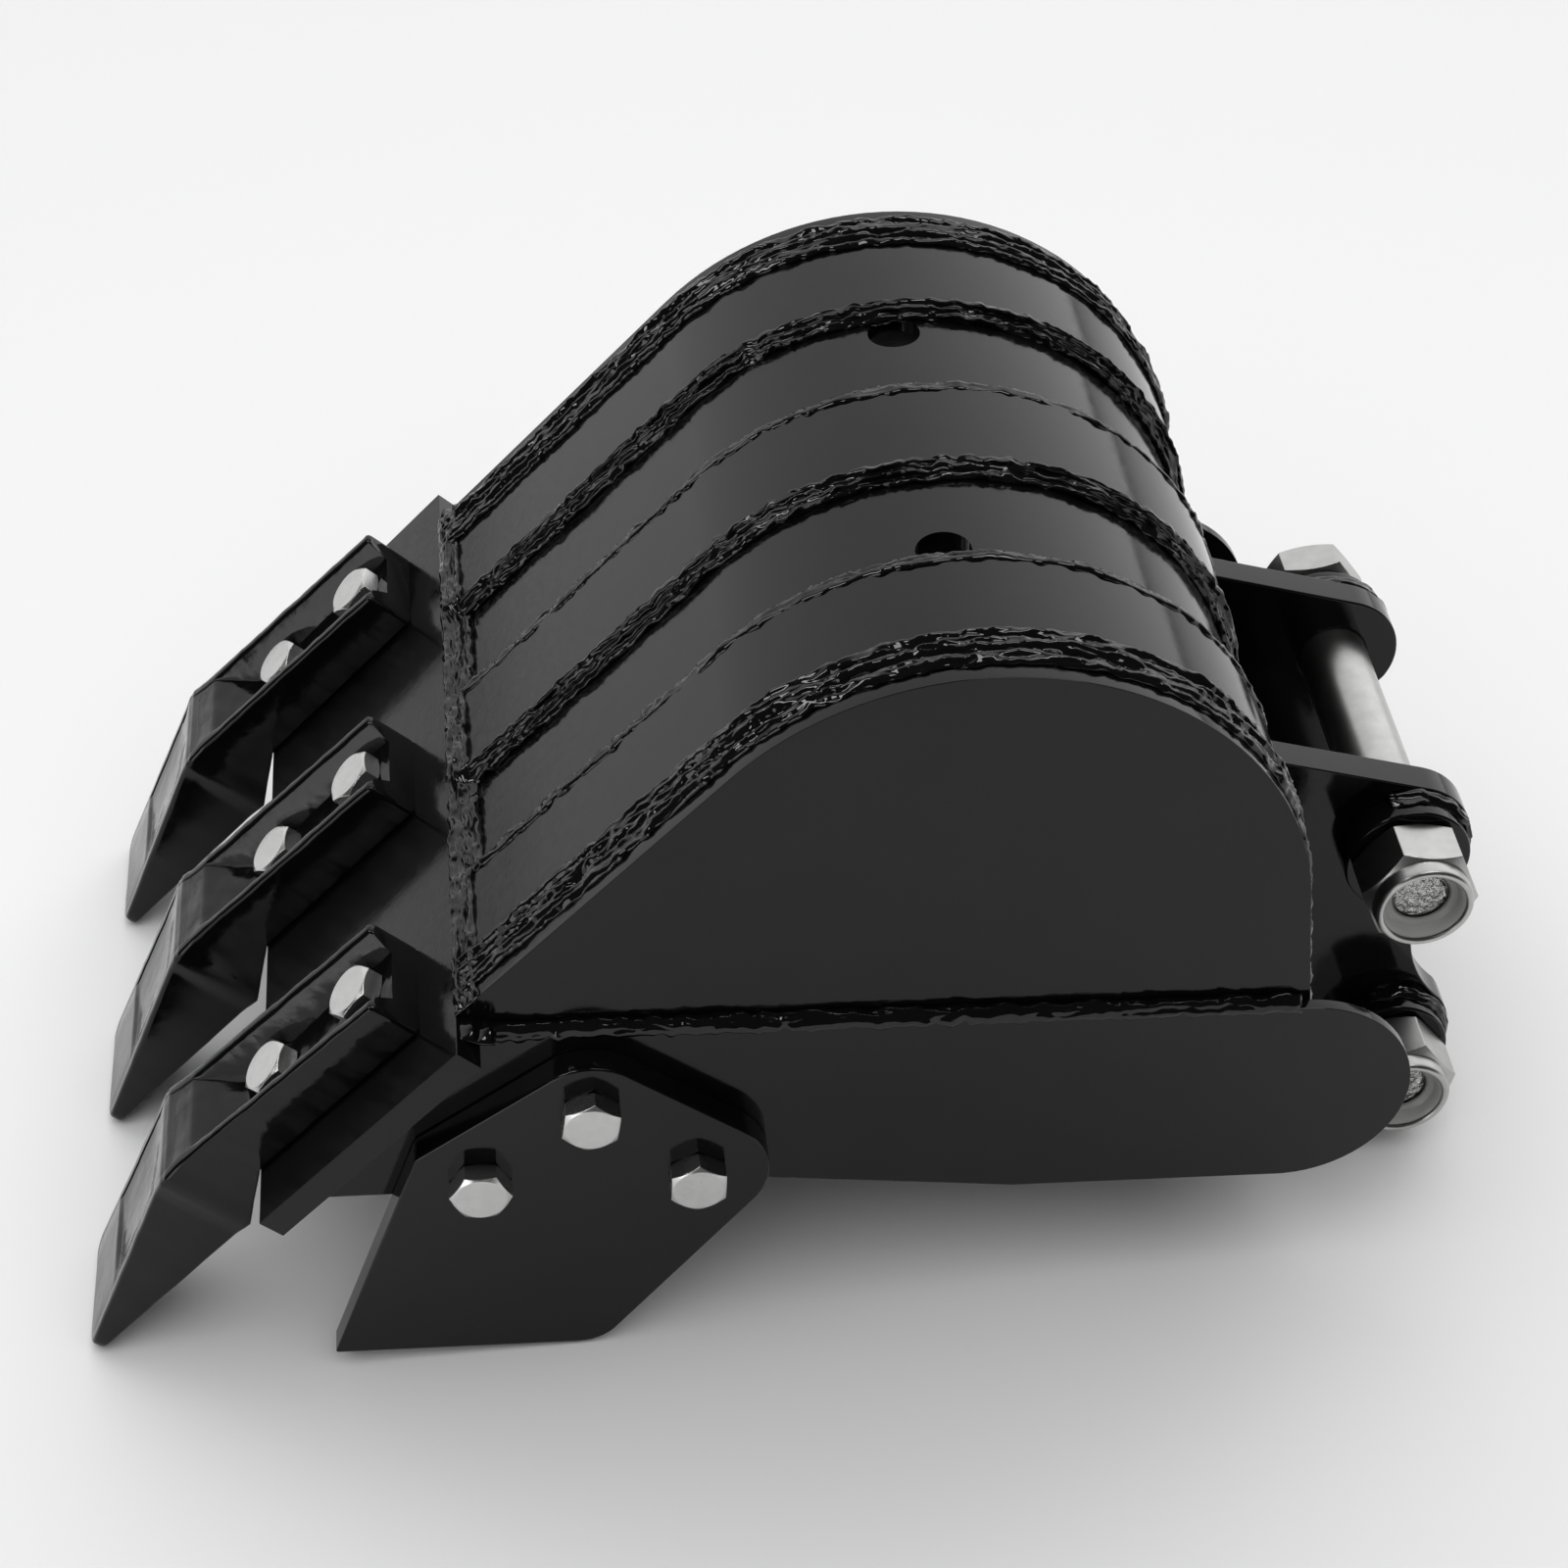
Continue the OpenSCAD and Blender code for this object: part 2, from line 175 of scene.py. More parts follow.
def material(name, colour, rough, metallic=0.0, ior=1.36, grain=(), tint=0.0, tint_scale=40.0,
             rough_span=0.0, rough_scale=300.0, edge=0.0):
    """A painted or plated surface, its colour and gloss varied by noise.

    tint is the colour's spread either way and rough_span the roughness's. grain holds
    (scale per metre, height in mm, detail) of each layer of bumps. edge is the radius, in mm, of
    worn edges.
    """
    m = bpy.data.materials.new(name)
    m.use_nodes = True
    nodes, links = m.node_tree.nodes, m.node_tree.links
    shader = nodes["Principled BSDF"]
    shader.inputs["Metallic"].default_value = metallic
    shader.inputs["IOR"].default_value = ior
    coords = nodes.new("ShaderNodeTexCoord").outputs["Object"]

    def noise_of(scale, detail):
        n = nodes.new("ShaderNodeTexNoise")
        n.inputs["Scale"].default_value = scale
        n.inputs["Detail"].default_value = detail
        links.new(coords, n.inputs["Vector"])
        return n.outputs["Fac"]

    def ranged(fac, low, high):
        r = nodes.new("ShaderNodeMapRange")
        for socket, value in zip(RANGE_SOCKETS, (*NOISE_SPREAD, low, high)):
            r.inputs[socket].default_value = value
        links.new(fac, r.inputs["Value"])
        return r.outputs["Result"]

    mix = nodes.new("ShaderNodeMix")
    mix.data_type = "RGBA"
    mix.inputs["A"].default_value = (*[c * (1 - tint) for c in colour], 1)
    mix.inputs["B"].default_value = (*[c * (1 + tint) for c in colour], 1)
    links.new(ranged(noise_of(tint_scale, TINT_DETAIL), 0, 1), mix.inputs["Factor"])
    links.new(mix.outputs["Result"], shader.inputs["Base Color"])
    uneven = noise_of(rough_scale, ROUGH_DETAIL)
    links.new(ranged(uneven, rough - rough_span, rough + rough_span), shader.inputs["Roughness"])
    normal = None
    if edge:
        worn = nodes.new("ShaderNodeBevel")
        worn.samples = EDGE_SAMPLES
        worn.inputs["Radius"].default_value = edge * MM
        normal = worn.outputs["Normal"]
    for scale, height, detail in grain:
        bump = nodes.new("ShaderNodeBump")
        bump.inputs["Strength"].default_value = 1.0
        bump.inputs["Distance"].default_value = height * MM
        links.new(noise_of(scale, detail), bump.inputs["Height"])
        if normal is not None:
            links.new(normal, bump.inputs["Normal"])
        normal = bump.outputs["Normal"]
    if normal is not None:
        links.new(normal, shader.inputs["Normal"])
    return m


BLACK = (0.003, 0.003, 0.0032)
PAINT = material("black_gloss_paint", BLACK, 0.11, tint=0.3, rough_span=0.03,
                 grain=((240.0, 0.014, 2.0), (1100.0, 0.005, 2.0)))
LIP_PAINT = material("black_paint_over_grit", BLACK, 0.13, tint=0.3, rough_span=0.04,
                     grain=((900.0, 0.03, 2.0), (90.0, 0.06, 2.0)))
CAST = material("black_paint_on_cast_steel", BLACK, 0.12, tint=0.3, rough_span=0.05,
                grain=((70.0, 0.22, 2.0), (380.0, 0.035, 3.0)))
BEAD = material("black_paint_on_weld", (0.003, 0.003, 0.0033), 0.07, ior=1.44, tint=0.3,
                rough_span=0.02, grain=((300.0, 0.05, 1.0),))
ZINC = material("zinc_plate", (0.60, 0.60, 0.595), 0.27, metallic=1.0, tint=0.05,
                tint_scale=220.0, rough_span=0.015, rough_scale=60.0,
                grain=((500.0, 0.005, 2.0),), edge=0.4)
PIN_ZINC = material("zinc_plate_satin", (0.46, 0.46, 0.455), 0.3, metallic=1.0, tint=0.08,
                    tint_scale=150.0, rough_span=0.015, rough_scale=60.0,
                    grain=((300.0, 0.006, 1.0),), edge=0.6)
RAW_END = material("zinc_on_sheared_end", (0.58, 0.58, 0.57), 0.22, metallic=1.0, tint=0.2,
                   tint_scale=500.0, rough_span=0.08, grain=((420.0, 2.4, 3.0),))
NYLON = material("grey_nylon", (0.36, 0.36, 0.35), 0.42, ior=1.5, tint=0.06,
                 rough_span=0.06, grain=((800.0, 0.03, 2.0),))


# ---------------------------------------------------------------- mesh helpers
SHARP_FROM = 30.0  # degrees between the faces of an edge that is rounded
SAME_SKIN = 0.985  # cosine between a face and the curved skin that it belongs to
MERGE_DIST = 2e-6
FLAT_WITHIN = 0.3  # degrees between CAD triangles that are one face


def new_piece(name, bm, mat, body="root"):
    """A smooth object from bm, which it uses up, on a body of the frame."""
    mesh = bpy.data.meshes.new(name)
    bmesh.ops.recalc_face_normals(bm, faces=bm.faces)
    bm.to_mesh(mesh)
    bm.free()
    mesh.materials.append(mat)
    mesh.polygons.foreach_set("use_smooth", [True] * len(mesh.polygons))
    ob = bpy.data.objects.new(name, mesh)
    bpy.context.scene.collection.objects.link(ob)
    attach(ob, body)
    return ob


def ease_edges(bm, width, segments):
    """Rounds every sharp edge by the width in mm."""
    sharp = [e for e in bm.edges if len(e.link_faces) == 2
             and e.calc_face_angle() > math.radians(SHARP_FROM)]
    bmesh.ops.bevel(bm, geom=sharp, offset=width * MM, segments=segments, profile=0.5,
                    affect="EDGES", clamp_overlap=True)


def flat_shading(mesh, true_normal=None, limit=38):
    """Normals that keep wide faces flat, shared between faces that meet under the limit.

    true_normal gives a curved skin's own normal at a point.
    """
    near = math.cos(math.radians(limit))
    normals = [p.normal.copy() for p in mesh.polygons]
    weights = [p.area for p in mesh.polygons]
    around = [[] for _ in mesh.vertices]
    for p in mesh.polygons:
        for v in p.vertices:
            around[v].append(p.index)
    out = []
    for p in mesh.polygons:
        own = normals[p.index]
        for v in p.vertices:
            exact = true_normal(mesh.vertices[v].co) if true_normal else None
            if exact and abs(exact.dot(own)) > SAME_SKIN:
                out.append(exact if exact.dot(own) > 0 else -exact)
                continue
            total = Vector()
            for f in around[v]:
                if normals[f].dot(own) > near:
                    total += normals[f] * weights[f]
            out.append(total.normalized() if total.length > 0 else own)
    mesh.normals_split_custom_set(out)


def belt_normal(p):
    """The outward normal of the bucket's rolled back at a point of it."""
    q = UNSIDE @ p
    at = math.degrees(math.atan2(q.z, q.x))
    c, s = turned(min(90 + BELLY_SLOPE, max(REAR_LEAN, at if at > -90 else 180)))
    return side_dir(c, 0, s)


def softened(node, mat, width, segments=2, true_normal=None):
    """A copy of a CAD node with whole faces, rounded edges and smooth shading, in its place."""
    bm = bmesh.new()
    bm.from_mesh(frame["nodes"][node].data)
    bmesh.ops.remove_doubles(bm, verts=bm.verts, dist=MERGE_DIST)
    bmesh.ops.dissolve_limit(bm, angle_limit=math.radians(FLAT_WITHIN), verts=bm.verts,
                             edges=bm.edges)
    bmesh.ops.recalc_face_normals(bm, faces=bm.faces)
    ease_edges(bm, width, segments)
    ob = new_piece(node + "_painted", bm, mat)
    flat_shading(ob.data, true_normal)
    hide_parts(node)


def band(bm, lo, hi):
    """Faces between two closed loops of vertices, one of which may be a single point."""
    n = max(len(lo), len(hi))
    for i in range(n):
        j = (i + 1) % n
        if len(lo) == 1:
            bm.faces.new((lo[0], hi[i], hi[j]))
        elif len(hi) == 1:
            bm.faces.new((lo[i], lo[j], hi[0]))
        else:
            bm.faces.new((lo[i], lo[j], hi[j], hi[i]))


def skin(bm, loops):
    """A closed skin over a row of loops, with a face at each end."""
    for lo, hi in zip(loops, loops[1:]):
        band(bm, lo, hi)
    bm.faces.new(loops[0])
    bm.faces.new(loops[-1])


def polar(bm, at, r, angle, z):
    """A new vertex at a radius, an angle in radians and a height about at's Z, in mm."""
    return bm.verts.new(at @ (Vector((r * math.cos(angle), r * math.sin(angle), z)) * MM))


def lathe(bm, at, rings, steps):
    """Closed rings (radius, height) in mm about at's Z; a radius of 0 closes an end."""
    made = [[polar(bm, at, r, 2 * math.pi * i / steps, z) for i in range(steps if r else 1)]
            for r, z in rings]
    for lo, hi in zip(made, made[1:]):
        band(bm, lo, hi)


def ring_of(bm, at, profile, steps=72):
    """A closed ring from a closed profile of (radius, height) in mm about at's Z."""
    rows = [[polar(bm, at, r, 2 * math.pi * i / steps, z) for r, z in profile]
            for i in range(steps)]
    for i in range(steps):
        band(bm, rows[i], rows[(i + 1) % steps])


def hexed(bm, at, across, low, high, low_r, high_r, bore=0.0, steps=96):
    """A hexagon from low to high, its corners cut back by 30 degree cones at both ends.

    The cones start at radius low_r and high_r. A bore only opens the two end faces.
    """
    cone = math.tan(math.radians(30))
    angles = [2 * math.pi * i / steps + math.pi / 6 for i in range(steps)]
    rings = [[], [], [], []]
    for a in angles:
        off_flat = (a + math.pi / 3) % (math.pi / 3) - math.pi / 6
        r = across / 2 / math.cos(off_flat)
        spots = ((low_r, low), (r, low + max(0.0, r - low_r) * cone),
                 (r, high - max(0.0, r - high_r) * cone), (high_r, high))
        for ring, (rr, z) in zip(rings, spots):
            ring.append(polar(bm, at, rr, a, z))
    for lo, hi in zip(rings, rings[1:]):
        band(bm, lo, hi)
    for ring, z in ((rings[0], low), (rings[3], high)):
        if bore:
            band(bm, ring, [polar(bm, at, bore, a, z) for a in angles])
        else:
            bm.faces.new(ring)


# ---------------------------------------------------------------- plates and bars
softened("cutting_lip", LIP_PAINT, 0.9)
softened("shell", PAINT, 0.9, true_normal=belt_normal)
for node in ("wear_strip_left", "wear_strip_middle", "wear_strip_right"):
    softened(node, PAINT, 0.5, true_normal=belt_normal)
for side in ("left", "right"):
    softened("side_plate_" + side, PAINT, 0.5)
    softened("side_bar_" + side, PAINT, 0.7)
    softened("side_cutter_" + side, PAINT, 0.9, 3)
    softened("ear_" + side, PAINT, 0.9, 3)
softened("pin_bosses", PAINT, 1.0, 3)

# ---------------------------------------------------------------- weld beads
STATION = 0.9  # spacing of a bead's stations
TOE_DIP = 0.35  # how far its toes are sunk into the plates
ROOT_DEPTH = 1.2  # and how far its underside is
RIPPLE = 0.6
STREAK, CRAG = 1.9, 2.2  # shares of the slag's ridges and of its creases


def wander(x, seed, y=0.0):
    """Smooth noise, different for every seed."""
    return noise.noise(Vector((x, y, seed * 3.7 + 0.5)))


def bead(name, rails, bulge, passes=(0.0, 1.0), seed=1, lobe=1.0, pitch=4.6, columns=20,
         toe=0.8, rough=0.9, taper=3.0):
    """A rippled weld bead over rails of (toe A, toe B, outward), split across by its passes.

    In mm: bulge is the dome's height, lobe each pass's own, pitch the ripples' spacing, toe the
    toes' raggedness, rough the depth of the slag's marks and taper the length of the ends.
    """
    bm = bmesh.new()
    run, loops = 0.0, []
    total = sum((rails[i + 1][0] - rails[i][0]).length for i in range(len(rails) - 1)) / MM
    for i, (a, b, n) in enumerate(rails):
        if i:
            run += (a - rails[i - 1][0]).length / MM
        end = min(1.0, min(run, total - run) / taper + 0.05) ** 0.5
        across = (b - a).normalized()
        grown = 1 + 0.2 * wander(run / 14, seed + 9)
        ragged = [toe * 1.5 * wander(run / 4.5, k) + 0.3 * wander(run / 2.5, k + 4)
                  for k in (seed, seed + 2)]
        a = a - across * ragged[0] * MM
        b = b + across * ragged[1] * MM
        width = (b - a).length / MM
        bounds = [p + (0.07 * wander(run / 9, seed + 20 + k) if 0 < p < 1 else 0)
                  for k, p in enumerate(passes)]
        loop = []
        for j in range(columns + 1):
            t = j / columns
            k = max(0, sum(1 for p in bounds[1:-1] if t >= p))
            u = min(1.0, max(0.0, (t - bounds[k]) / (bounds[k + 1] - bounds[k])))
            dome, own = (4 * t * (1 - t)) ** 0.6, (4 * u * (1 - u)) ** 0.7
            phase = run + 1.6 * (2 * u - 1) ** 2 + 2.0 * wander(run / 6, seed + 5 + k)
            phase = phase / pitch + k * 0.37
            depth = max(0.0, 0.55 + 0.9 * wander(math.floor(phase) * 1.7, seed + 7 + k))
            height = bulge * dome * grown
            height += lobe * own * (0.8 + 0.5 * wander(run / 9, seed + 11 + k))
            height += RIPPLE * depth * (1 - phase % 1) ** 2 * own
            streak = wander(run / 17.0, seed + 15, t * width / 1.7)
            crag = abs(wander(run / 13.0, seed + 13, t * width / 2.4))
            height += rough * dome * (STREAK * streak - CRAG * crag)
            height = height * end - (TOE_DIP if j in (0, columns) else 0.0)
            loop.append(bm.verts.new(a.lerp(b, t) + n * height * MM))
        loop.append(bm.verts.new(a.lerp(b, 0.5) - n * ROOT_DEPTH * MM))
        loops.append(loop)
    skin(bm, loops)
    new_piece(name, bm, BEAD)


def along_back(r_a, r_b, y_a, y_b, lean, end_z, start):
    """Rails along the bucket's back, from (r_a, y_a) to (r_b, y_b), leaning to Y by lean.

    r_a and r_b are functions of z.
    """
    rails = []
    mid = (r_a(0) + r_b(0)) / 2
    for x, z, nx, nz in back_line(mid, end_z, STATION, start):
        da, db = r_a(z) - mid, r_b(z) - mid
        rails.append((side_pt(x + nx * da, y_a, z + nz * da),
                      side_pt(x + nx * db, y_b, z + nz * db), side_dir(nx, lean, nz)))
    return rails


def steady(value):
    """A rail that stays at one radius."""
    return lambda z: value


# along the edges of the wear strips, except the two that lie under the side plates' welds
STRIP_TOP = BACK_R + 0.15
strip_edges = []
for k, name in ((-1, "left"), (0, "middle"), (1, "right")):
    for s in (-1, 1):
        if k * s < 1:
            strip_edges.append((name, k * STRIP_PITCH + s * STRIP_W / 2, s))
for i, (name, y, s) in enumerate(strip_edges):
    side, lap, leg, bulge = ("near", 2.2, 5.0, 1.0) if s < 0 else ("far", 2.8, 6.0, 1.6)
    rails = along_back(steady(STRIP_TOP), steady(SHELL_R - 0.1), y - s * lap, y + s * leg,
                       s * 0.9, STRIP_END_Z, LIP_BACK + 6)
    bead(f"weld_strip_{name}_{side}", rails, bulge, (0.0, 0.36, 0.68, 1.0), seed=3 + 5 * i)


def gap_floor(z):
    """Radius of the weld's inner toe: on the wear strip above, on the shell below its end."""
    blend = min(1.0, max(0.0, (z - STRIP_END_Z + 5) / 6))
    return SHELL_R + (STRIP_TOP - SHELL_R) * blend


# along both side plates: three passes on the left, four on the right
SIDE_WELD_Y = (109.5, 127.6)
for s, name, passes, rough in ((-1, "left", (0.0, 0.3, 0.62, 1.0), 0.9),
                               (1, "right", (0.0, 0.22, 0.48, 0.74, 1.0), 0.6)):
    rails = along_back(gap_floor, steady(STRIP_TOP), s * SIDE_WELD_Y[0], s * SIDE_WELD_Y[1], 0.0,
                       MOUTH_Z + 3, LIP_BACK + 2)
    bead("weld_side_" + name, rails, 0.3, passes, seed=41 + 6 * s, lobe=2.2, columns=36,
         rough=rough)

# across the shell, behind the cutting edge: level over the strips, down to the shell between
strip_at = [k * STRIP_PITCH for k in (-1, 0, 1)]
OUTER_STRIP_Y = 112.0
LIP_LEG = 11.0
lip_out = side_dir(OUTWARD[0] + 0.25 * ALONG[0], 0, OUTWARD[1] + 0.25 * ALONG[1])
rails = []
for i in range(int(2 * SIDE_OUT / STATION) + 1):
    y = -SIDE_OUT + i * STATION
    off_strip = min(1.0, max(0.0, min(abs(y - c) - STRIP_W / 2 for c in strip_at) / 4))
    if abs(y) > OUTER_STRIP_Y:
        off_strip = 0.0
    drop = (BACK_R - SHELL_R) * off_strip
    rails.append((belly_pt(LIP_BACK - 0.5, y, STRIP_TOP),
                  belly_pt(LIP_BACK + LIP_LEG, y, STRIP_TOP - drop), lip_out))
bead("weld_lip", rails, 0.6, (0.0, 0.36, 0.7, 1.0), seed=61, lobe=1.6, columns=28)

# along the top of each side bar, and round the corner behind the cutting edge
BAR_WELD_END = 112.0
CORNER_STATIONS, CORNER_STEP = 12, 0.95
bar_start = slope_pt((BAR_TOP - LIP_UNDER * OUTWARD[1]) / ALONG[1], LIP_UNDER)[0]
corner_out = side_dir(ALONG[0] + 0.3 * OUTWARD[0], 0, ALONG[1] + 0.3 * OUTWARD[1])
for s, name in SIDES:
    rails = []
    for i in range(int((BAR_WELD_END - bar_start) / STATION)):
        x = bar_start + i * STATION
        rails.append((side_pt(x, s * SIDE_OUT, BAR_TOP + 3.6),
                      side_pt(x, s * (SIDE_OUT + BAR_T), BAR_TOP - 2.0), side_dir(0, s, 1.0)))
    bead("weld_bar_" + name, rails, 1.3, seed=71 + s, lobe=1.2, pitch=8.0, columns=16, rough=0.28)
    rails = []
    for i in range(CORNER_STATIONS):
        y = s * (SIDE_OUT - 1.0 + i * CORNER_STEP)
        rails.append((belly_pt(LIP_BACK - 0.6, y, BACK_R - 1.5),
                      belly_pt(LIP_BACK + 5.0, y, LIP_UNDER - 2.0), corner_out))
    bead("weld_corner_" + name, rails, 2.0, (0.0, 0.5, 1.0), seed=77 + s, lobe=1.2, columns=16,
         rough=1.4, taper=7.0)

# both faces of each ear along the shell, and over the upper rear of the bosses
EAR_WELD_TOP, EAR_WELD_L = 10.0, 118.0
EAR_LEG, EAR_FOOT = 4.5, 5.0
BOSS_ARC = (66, 360 / 170, -25)  # stations, and the step and the start in degrees
BOSS_RISE, BOSS_FOOT = 6.0, 2.2
LEAN_C, LEAN_S = turned(REAR_LEAN)
for s, name in SIDES:
    for y, d in ((EAR_OUT, 1), (EAR_IN, -1)):
        rails = []
        for i in range(int(EAR_WELD_L / STATION)):
            z = EAR_WELD_TOP - i * STATION
            x = (SHELL_R - z * LEAN_S) / LEAN_C
            rails.append((side_pt(x + EAR_LEG * LEAN_C, s * y, z + EAR_LEG * LEAN_S),
                          side_pt(x, s * (y + d * EAR_FOOT), z), side_dir(LEAN_C, s * d, LEAN_S)))
        bead(f"weld_ear_{name}_{'out' if d > 0 else 'in'}", rails, 0.8, seed=91 + 3 * s + d,
             lobe=0.7, columns=10)
    for c, pin in ((STICK_C, "stick"), (LINK_C, "link")):
        rails = []
        foot = BOSS_R + BOSS_FOOT
        count, step, first = BOSS_ARC
        for i in range(count):
            cx, cz = turned(i * step + first)
            toe_y, foot_y = s * (EAR_OUT + BOSS_RISE), s * (EAR_OUT - 0.1)
            rails.append((side_pt(c[0] + BOSS_R * cx, toe_y, c[1] + BOSS_R * cz),
                          side_pt(c[0] + foot * cx, foot_y, c[1] + foot * cz),
                          side_dir(cx, s, cz)))
        bead(f"weld_boss_{name}_{pin}", rails, 0.6, seed=101 + 7 * s + len(pin), lobe=0.8,
             columns=12, toe=0.9, pitch=7.0, rough=0.7)

# inside, where the side plates meet the shell
INSIDE_LEG, INSIDE_STATION = 5.0, 1.6
for s, name in SIDES:
    rails = []
    for x, z, nx, nz in back_line(SHELL_R - SHELL_T, MOUTH_Z + 6, INSIDE_STATION, LIP_BACK + 4):
        rails.append((side_pt(x, s * (SIDE_IN - INSIDE_LEG), z),
                      side_pt(x - INSIDE_LEG * nx, s * SIDE_IN, z - INSIDE_LEG * nz),
                      side_dir(-nx, -s, -nz)))
    bead("weld_inside_" + name, rails, 0.8, seed=121 + s, lobe=0.8, columns=9)


# ---------------------------------------------------------------- teeth
def eased(x, x0, x1):
    """0 before x0, 1 after x1 and a smooth step between."""
    t = min(1.0, max(0.0, (x - x0) / (x1 - x0)))
    return t * t * (3 - 2 * t)


def rounded(points, radii, steps):
    """The outline with each corner replaced by an arc of its radius, cut to its short sides."""
    out = []
    n = len(points)
    for i, (p, r) in enumerate(zip(points, radii)):
        p = Vector(p)
        a, b = Vector(points[i - 1]) - p, Vector(points[(i + 1) % n]) - p
        if r <= 0:
            out.append(p)
            continue
        d = min(r, a.length * 0.49, b.length * 0.49)
        a, b = p + a.normalized() * d, p + b.normalized() * d
        for k in range(steps + 1):
            t = k / steps
            out.append(a * (1 - t) ** 2 + p * 2 * t * (1 - t) + b * t * t)
    return out


# heights h off the cutting edge's top, at stations s along it from the tip at -REACH to REAR
REACH, REAR = 102.0, 82.0
RIDGE_S, RIDGE_H = -22.5, 23.5
RIM_S, RIM_H = 79.0, 20.0
HEEL_S, HEEL_H = -22.0, -13.0
TIP_TOP, TIP_LOW = -6.0, -10.0
HALF_W, TIP_FLARE, HEEL_BULGE = 20.0, 5.0, 1.3
TIP_R, REAR_R = 5.0, 1.5
WALL_T, WALL_LEAN = 4.0, 0.55
POCKET_START, POCKET_END = -8.5, 7.5
HEAD_ROOM = 11.8
DISH = 1.5
CORNER_R, WALL_R, FOOT_R, SEAM_R = 1.4, 1.7, 0.9, 0.3


def tooth_section(s):
    """The tooth's outline at s, as (y, h) in mm: half widths and heights from its side view."""
    rim = RIDGE_H + (RIM_H - RIDGE_H) * (s - RIDGE_S) / (RIM_S - RIDGE_S)
    face = RIDGE_H + (s - RIDGE_S) * (RIDGE_H - TIP_TOP) / (RIDGE_S + REACH)
    top = min(rim, face) - 0.35 * max(0.0, 1.5 - abs(s - RIDGE_S))
    top -= 1.4 * eased(s, REAR - 1.6, REAR) ** 2
    low = 0.0 if s > 0 else HEEL_H * s / HEEL_S
    if s < HEEL_S:
        low = HEEL_H + (s - HEEL_S) * (HEEL_H - TIP_LOW) / (HEEL_S + REACH - 1.0)
    half = HALF_W + TIP_FLARE * max(0.0, (RIDGE_S - s)) / (REACH + RIDGE_S)
    half += HEEL_BULGE * eased(s, -31, -22) * (1 - eased(s, -22, -13))
    for gap, r in ((s + REACH, TIP_R), (REAR - s, REAR_R)):
        if gap < r:
            half -= r - math.sqrt(r * r - (r - gap) ** 2)
    wall = half - WALL_T
    dish = DISH * eased(-s, 24.0, 40.0) * (1 - eased(-s, 73.0, 76.0))
    # the pocket for the bolt heads, with walls that lean in and room round each head
    pocket = top
    if s > RIDGE_S:
        fall = max(0.0, (s - POCKET_START) / (POCKET_END - POCKET_START))
        shallow = top - 0.5 * eased(s, RIDGE_S, RIDGE_S + 5)
        pocket = max(POCKET_H, shallow - (top - POCKET_H) * fall)
    foot = wall - WALL_LEAN * (top - pocket)
    room = max(HEAD_ROOM ** 2 - (s - c) ** 2 for c in TOOTH_BOLT_S)
    open_pocket = pocket < top - 1
    step = foot + 0.1
    if open_pocket and room > 0:
        step = max(step, math.sqrt(room))
    ledge = min(top - 0.2, pocket + (step - foot) / WALL_LEAN)
    points = [(-half, low), (-half, top), (-wall, top), (-step, ledge)]
    radii = [CORNER_R, WALL_R, CORNER_R, SEAM_R]
    for k in range(-3, 4):
        points.append((step * k / 3, pocket - dish * (1 - (k / 3.6) ** 2)))
        radii.append(FOOT_R if abs(k) == 3 and open_pocket else 0)
    points += [(step, ledge), (wall, top), (half, top), (half, low)]
    radii += [SEAM_R, CORNER_R, WALL_R, CORNER_R]
    return [(p.x, p.y) for p in rounded(points, [max(r, 0.02) for r in radii], 3)]


def make_tooth(name, y0, seed):
    """One cast tooth, slightly uneven all over."""
    bm = bmesh.new()
    stations = [-REACH + d for d in (0, 0.15, 0.6, 1.3, 2.2, 3.4, 5.0)]
    s = 8.0 - REACH
    while s < REAR - 6.0:
        stations.append(s)
        s += 1.0 if s > -32 or -80 < s < -70 else 3.0
    stations += [REAR - d for d in (5, 4, 3, 2.0, 1.4, 0.8, 0.4, 0.15, 0)]
    loops = []
    for s in stations:
        loop = []
        for y, h in tooth_section(s):
            w = 0.22 * noise.noise(Vector((s / 9, y / 7, h / 7 + seed * 5.3)))
            w += 0.10 * noise.noise(Vector((s / 3, y / 3, h / 3 + seed * 5.3)))
            loop.append(bm.verts.new(lip_pt(s + w, y0 + y + w, h + (w if h > 2 else 0))))
        loops.append(loop)
    skin(bm, loops)
    return new_piece(name, bm, CAST)


for k, side in ((-1, "left"), (0, "middle"), (1, "right")):
    tooth = make_tooth("tooth_cast_" + side, k * TOOTH_PITCH, seed=2 + k)
    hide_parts("tooth_" + side)
    tooth.data.set_sharp_from_angle(angle=math.radians(50))


# ---------------------------------------------------------------- bolts, nuts and pins
def axes(origin, x_dir, z_dir, turn=0.0):
    """A matrix with Z along z_dir and X near x_dir, turned about Z by some degrees."""
    z = z_dir.normalized()
    y = z.cross(x_dir).normalized()
    m = Matrix((y.cross(z), y, z)).transposed().to_4x4()
    m.translation = origin
    return m @ Matrix.Rotation(math.radians(turn), 4, "Z")


M12_R, M12_AF, M12_HEAD, M12_NUT, M12_TAIL = 6.0, 18.0, 7.5, 10.0, 2.5
FASTENER_LIMIT = 20  # degrees, so that flats and cones stay apart
lip_up = side_dir(OUTWARD[0], 0, OUTWARD[1])
lip_x = side_dir(ALONG[0], 0, ALONG[1])
side_x = side_dir(1, 0, 0)


